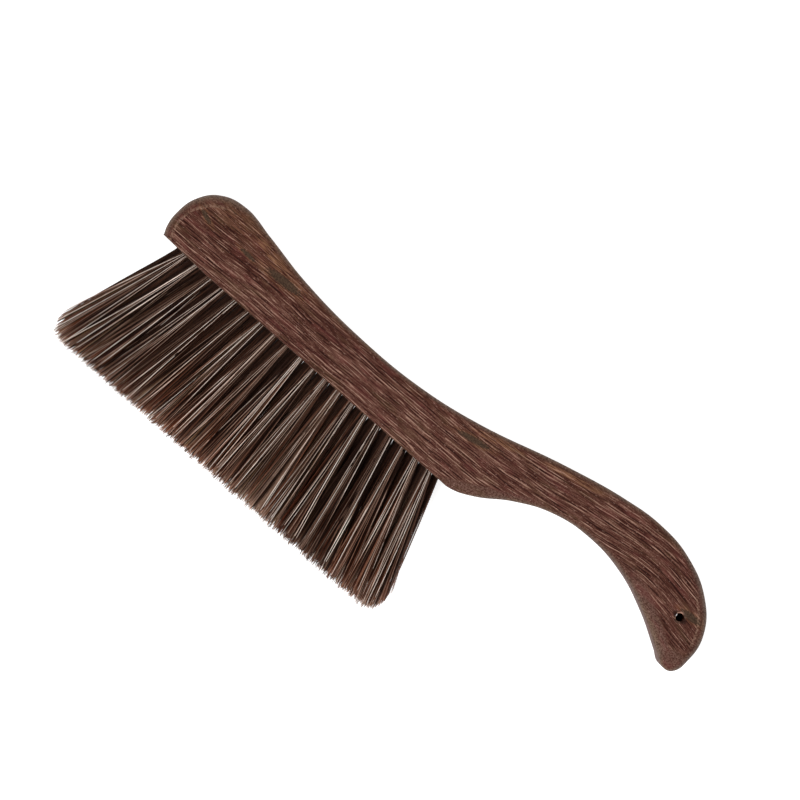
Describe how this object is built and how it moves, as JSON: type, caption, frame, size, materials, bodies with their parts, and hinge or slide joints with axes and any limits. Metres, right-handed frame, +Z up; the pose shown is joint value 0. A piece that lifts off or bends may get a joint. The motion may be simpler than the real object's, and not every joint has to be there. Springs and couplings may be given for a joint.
{
  "type": "neck duster brush",
  "caption": "Wooden neck duster brush with a one-piece stock and hooked S-curved handle, set with three staggered rows of long bristle tufts trimmed flat, and a small hanging hole in the tail.",
  "frame": {"origin": "under the centre of the whole brush, on the surface it lies on when it rests on its flat side", "axes": "+X along the brush from the head end to the tail of the handle, +Y from the bristle tips to the back of the handle, +Z up through the thickness of the wood"},
  "size_m": [0.3538, 0.1296, 0.028],
  "materials": {
    "dark_hardwood": "oiled, fine dark and light grain streaks",
    "natural_bristle": "glossy dark brown hair, lighter and warmer at the tips"
  },
  "bodies": {
    "root": {"lower_row_tuft_01": "natural_bristle", "lower_row_tuft_02": "natural_bristle", "lower_row_tuft_03": "natural_bristle", "lower_row_tuft_04": "natural_bristle", "lower_row_tuft_05": "natural_bristle", "lower_row_tuft_06": "natural_bristle", "lower_row_tuft_07": "natural_bristle", "lower_row_tuft_08": "natural_bristle", "lower_row_tuft_09": "natural_bristle", "lower_row_tuft_10": "natural_bristle", "lower_row_tuft_11": "natural_bristle", "lower_row_tuft_12": "natural_bristle", "lower_row_tuft_13": "natural_bristle", "lower_row_tuft_14": "natural_bristle", "lower_row_tuft_15": "natural_bristle", "lower_row_tuft_16": "natural_bristle", "lower_row_tuft_17": "natural_bristle", "lower_row_tuft_18": "natural_bristle", "lower_row_tuft_19": "natural_bristle", "lower_row_tuft_20": "natural_bristle", "middle_row_double_tuft_09_10": "natural_bristle", "middle_row_double_tuft_12_13": "natural_bristle", "middle_row_tuft_01": "natural_bristle", "middle_row_tuft_02": "natural_bristle", "middle_row_tuft_03": "natural_bristle", "middle_row_tuft_04": "natural_bristle", "middle_row_tuft_05": "natural_bristle", "middle_row_tuft_06": "natural_bristle", "middle_row_tuft_07": "natural_bristle", "middle_row_tuft_08": "natural_bristle", "middle_row_tuft_11": "natural_bristle", "middle_row_tuft_14": "natural_bristle", "middle_row_tuft_15": "natural_bristle", "middle_row_tuft_16": "natural_bristle", "middle_row_tuft_17": "natural_bristle", "middle_row_tuft_18": "natural_bristle", "middle_row_tuft_19": "natural_bristle", "middle_row_tuft_20": "natural_bristle", "middle_row_tuft_21": "natural_bristle", "stock_and_handle": "dark_hardwood", "upper_row_tuft_01": "natural_bristle", "upper_row_tuft_02": "natural_bristle", "upper_row_tuft_03": "natural_bristle", "upper_row_tuft_04": "natural_bristle", "upper_row_tuft_05": "natural_bristle", "upper_row_tuft_06": "natural_bristle", "upper_row_tuft_07": "natural_bristle", "upper_row_tuft_08": "natural_bristle", "upper_row_tuft_09": "natural_bristle", "upper_row_tuft_10": "natural_bristle", "upper_row_tuft_11": "natural_bristle", "upper_row_tuft_12": "natural_bristle", "upper_row_tuft_13": "natural_bristle", "upper_row_tuft_14": "natural_bristle", "upper_row_tuft_15": "natural_bristle", "upper_row_tuft_16": "natural_bristle", "upper_row_tuft_17": "natural_bristle", "upper_row_tuft_18": "natural_bristle", "upper_row_tuft_19": "natural_bristle", "upper_row_tuft_20": "natural_bristle"}
  },
  "joints": []
}
